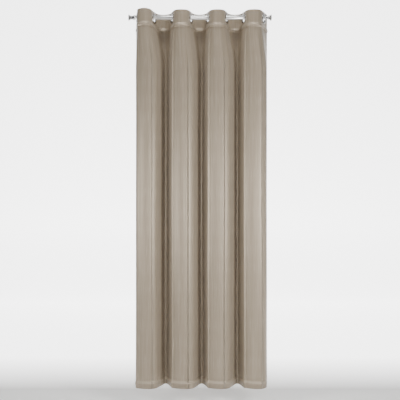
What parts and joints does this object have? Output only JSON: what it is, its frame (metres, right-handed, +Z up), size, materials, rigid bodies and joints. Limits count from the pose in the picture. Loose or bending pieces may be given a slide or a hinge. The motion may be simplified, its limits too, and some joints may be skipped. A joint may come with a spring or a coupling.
{
  "type": "eyelet curtain on a tension rod",
  "caption": "Gathered eyelet curtain panel hanging on a polished spring tension rod with flared, rubber-faced ends.",
  "frame": {"origin": "centre of the left end pad's outer face, on the rod's axis", "axes": "+X along the rod to the right, +Z up, +Y to the curtain's back"},
  "size_m": [0.86, 0.1345, 2.25],
  "materials": {
    "curtain_cloth": "satin-faced taupe cloth",
    "heading_tape": "stiff woven tape",
    "eyelet_metal": "brushed nickel",
    "polished_rod": "polished",
    "end_metal": "polished",
    "dark_metal": "dark polished",
    "end_rubber": "matt rubber",
    "screw_steel": "zinc-plated",
    "inner_plastic": "moulded"
  },
  "bodies": {
    "rod": {"rod_tube": "polished_rod", "end_pad_left": "end_rubber", "end_cap_left": "dark_metal", "end_screw_left": "screw_steel", "tube_plug_left": "end_metal", "guide_bush_right": "end_metal", "spring_stop_plug": "inner_plastic", "stop_plug_pin": "screw_steel", "compression_spring": "screw_steel", "curtain_panel": "curtain_cloth", "heading_tape": "heading_tape", "heading_facing": "curtain_cloth", "bottom_hem": "curtain_cloth", "side_hem_left": "curtain_cloth", "side_hem_right": "curtain_cloth"},
    "right_end": {"plunger": "end_metal", "plunger_stop_ring": "screw_steel", "end_cap_right": "dark_metal", "end_screw_right": "screw_steel", "end_pad_right": "end_rubber"},
    "eyelet_1": {"eyelet_1_front": "eyelet_metal", "eyelet_1_back": "eyelet_metal"},
    "eyelet_2": {"eyelet_2_front": "eyelet_metal", "eyelet_2_back": "eyelet_metal"},
    "eyelet_3": {"eyelet_3_front": "eyelet_metal", "eyelet_3_back": "eyelet_metal"},
    "eyelet_4": {"eyelet_4_front": "eyelet_metal", "eyelet_4_back": "eyelet_metal"},
    "eyelet_5": {"eyelet_5_front": "eyelet_metal", "eyelet_5_back": "eyelet_metal"},
    "eyelet_6": {"eyelet_6_front": "eyelet_metal", "eyelet_6_back": "eyelet_metal"},
    "eyelet_7": {"eyelet_7_front": "eyelet_metal", "eyelet_7_back": "eyelet_metal"},
    "eyelet_8": {"eyelet_8_front": "eyelet_metal", "eyelet_8_back": "eyelet_metal"}
  },
  "joints": [
    {"name": "right_end_press", "type": "slide", "parent": "rod", "child": "right_end", "axis": [1, 0, 0], "range_m": [-0.012, 0], "stiffness_N_per_m": 1900, "deforming": ["compression_spring"]},
    {"name": "curtain_draw", "type": "slide", "parent": "rod", "child": "eyelet_8", "axis": [1, 0, 0], "range_m": [-0.5005, 0], "deforming": ["curtain_panel", "heading_tape", "heading_facing", "bottom_hem", "side_hem_left", "side_hem_right"]},
    {"name": "eyelet_1_slide", "type": "slide", "parent": "rod", "child": "eyelet_1", "axis": [1, 0, 0], "range_m": [-0.007, 0]},
    {"name": "eyelet_2_slide", "type": "slide", "parent": "rod", "child": "eyelet_2", "axis": [1, 0, 0], "range_m": [-0.0733, 0]},
    {"name": "eyelet_3_slide", "type": "slide", "parent": "rod", "child": "eyelet_3", "axis": [1, 0, 0], "range_m": [-0.1441, 0]},
    {"name": "eyelet_4_slide", "type": "slide", "parent": "rod", "child": "eyelet_4", "axis": [1, 0, 0], "range_m": [-0.2176, 0]},
    {"name": "eyelet_5_slide", "type": "slide", "parent": "rod", "child": "eyelet_5", "axis": [1, 0, 0], "range_m": [-0.2839, 0]},
    {"name": "eyelet_6_slide", "type": "slide", "parent": "rod", "child": "eyelet_6", "axis": [1, 0, 0], "range_m": [-0.3567, 0]},
    {"name": "eyelet_7_slide", "type": "slide", "parent": "rod", "child": "eyelet_7", "axis": [1, 0, 0], "range_m": [-0.4243, 0]}
  ],
  "couplings": [
    {"joint": "eyelet_1_slide", "follows": "curtain_draw", "ratio": 0.012987},
    {"joint": "eyelet_2_slide", "follows": "curtain_draw", "ratio": 0.14546},
    {"joint": "eyelet_3_slide", "follows": "curtain_draw", "ratio": 0.28701},
    {"joint": "eyelet_4_slide", "follows": "curtain_draw", "ratio": 0.43377},
    {"joint": "eyelet_5_slide", "follows": "curtain_draw", "ratio": 0.56623},
    {"joint": "eyelet_6_slide", "follows": "curtain_draw", "ratio": 0.71169},
    {"joint": "eyelet_7_slide", "follows": "curtain_draw", "ratio": 0.84675}
  ]
}
